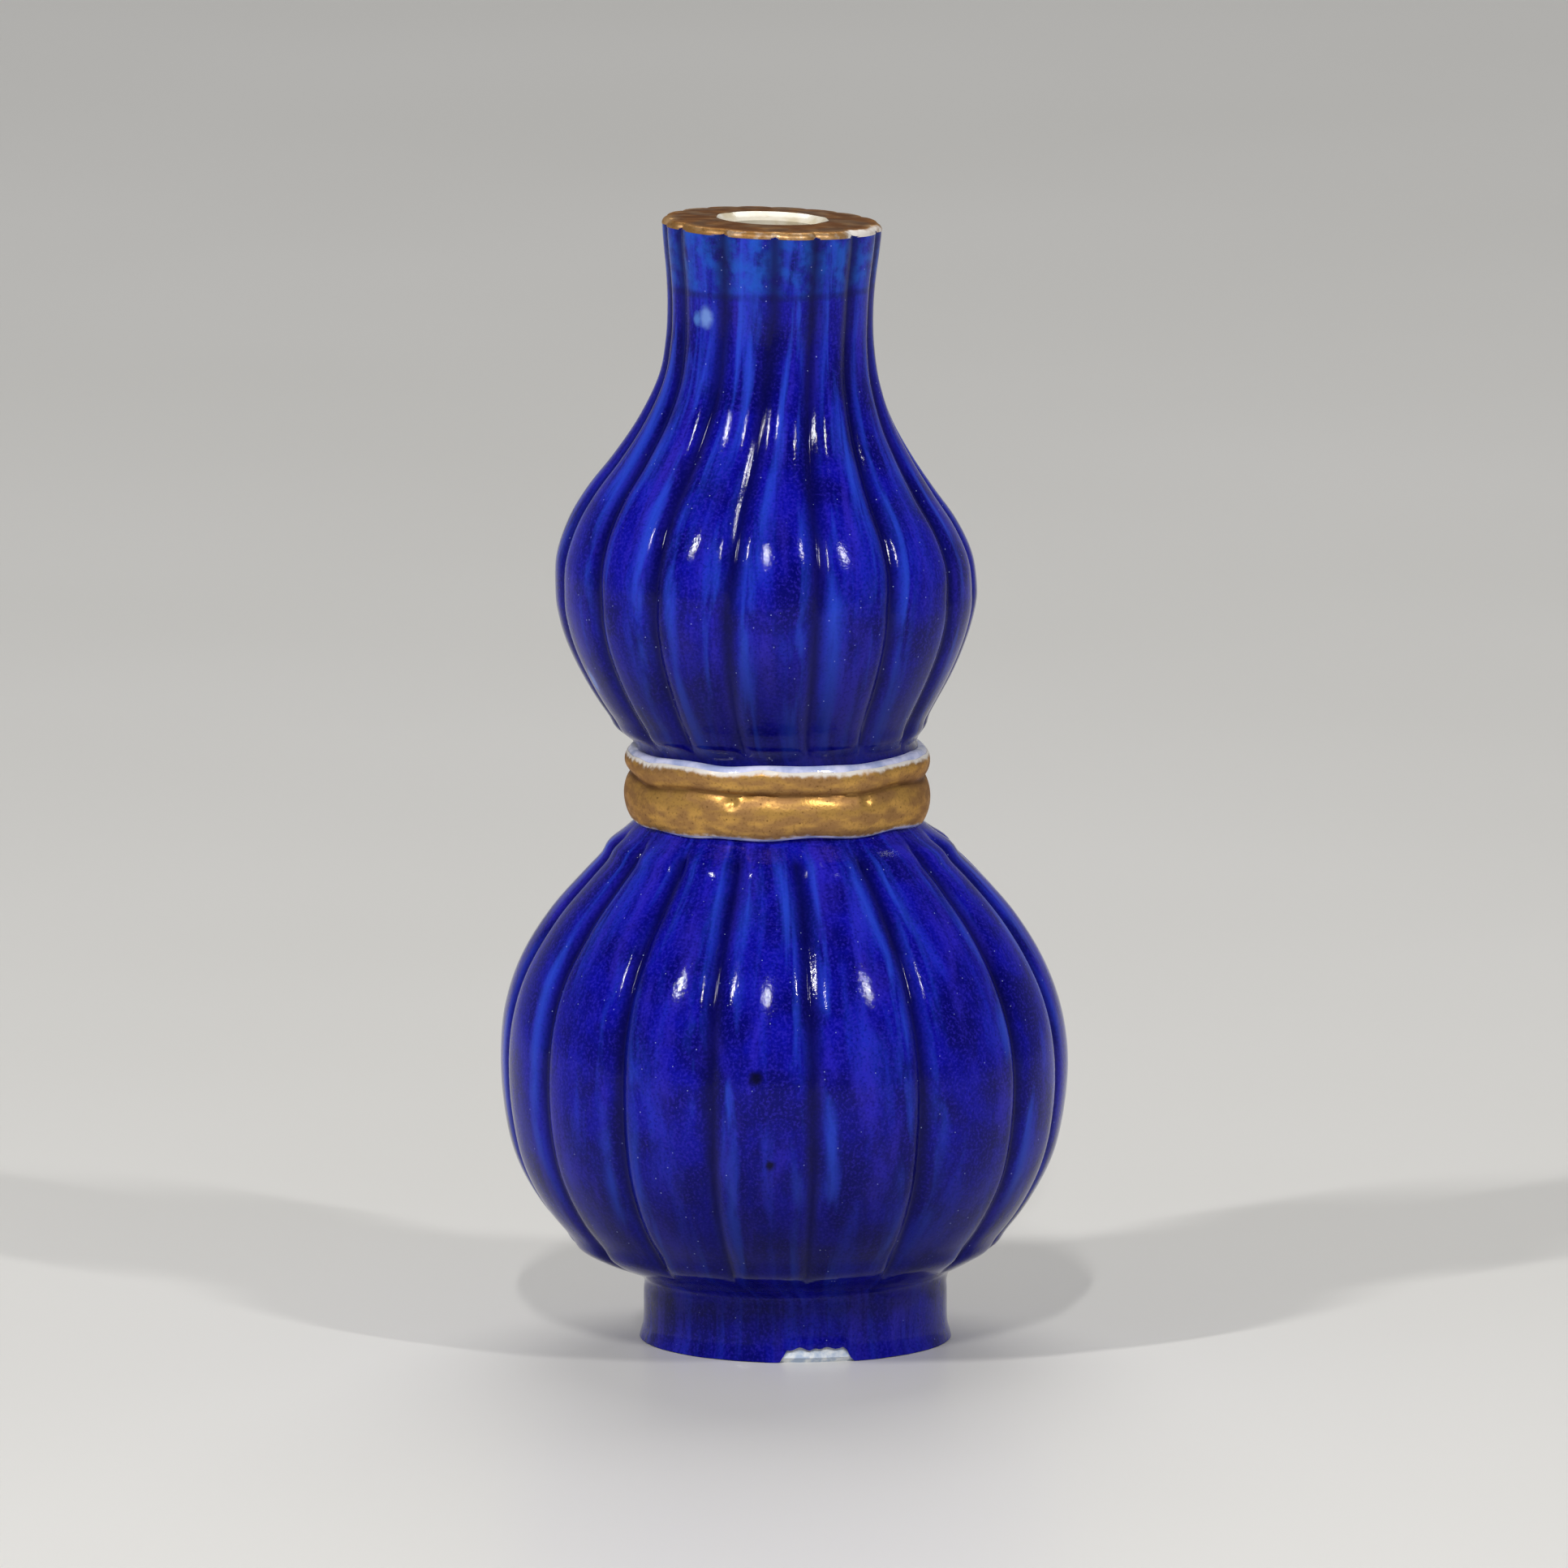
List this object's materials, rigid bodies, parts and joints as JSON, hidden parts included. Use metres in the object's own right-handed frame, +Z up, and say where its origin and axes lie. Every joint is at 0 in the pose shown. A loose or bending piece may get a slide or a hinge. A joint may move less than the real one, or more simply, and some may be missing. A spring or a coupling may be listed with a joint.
{
  "type": "double gourd vase",
  "caption": "Small lobed double gourd vase in deep blue glazed porcelain, with a gilded two-bead waist band, a gilded flat lip and a low foot ring.",
  "frame": {"origin": "on the lower bulb's axis, level with the standing edge of the foot", "axes": "+Z up through the mouth, -Y towards the pictured front, +X to the picture's right"},
  "size_m": [0.0806, 0.0805, 0.1605],
  "materials": {
    "porcelain": "fired white porcelain, bare only at the standing edge",
    "luting_slip": "fired porcelain slip in the joints",
    "cobalt_glaze": "glossy deep cobalt blue glaze with slight orange peel",
    "clear_glaze": "glossy clear glaze over white porcelain",
    "gilding": "worn fired gilding, satin"
  },
  "bodies": {
    "root": {"foot_ring": "porcelain", "base_slab": "porcelain", "lower_bulb_lower_shell": "porcelain", "lower_bulb_upper_shell": "porcelain", "upper_bulb_lower_shell": "porcelain", "shoulder_and_neck_shell": "porcelain", "mouth_collar": "porcelain", "lower_band_strip": "porcelain", "upper_band_strip": "porcelain", "foot_luting_slip": "luting_slip", "base_luting_slip": "luting_slip", "lower_bulb_luting_slip": "luting_slip", "waist_luting_slip": "luting_slip", "upper_bulb_luting_slip": "luting_slip", "collar_luting_slip": "luting_slip", "lower_cobalt_glaze": "cobalt_glaze", "upper_cobalt_glaze": "cobalt_glaze", "clear_inside_glaze": "clear_glaze", "clear_base_glaze": "clear_glaze", "clear_band_glaze": "clear_glaze", "band_gilding": "gilding", "rim_gilding": "gilding"}
  },
  "joints": []
}
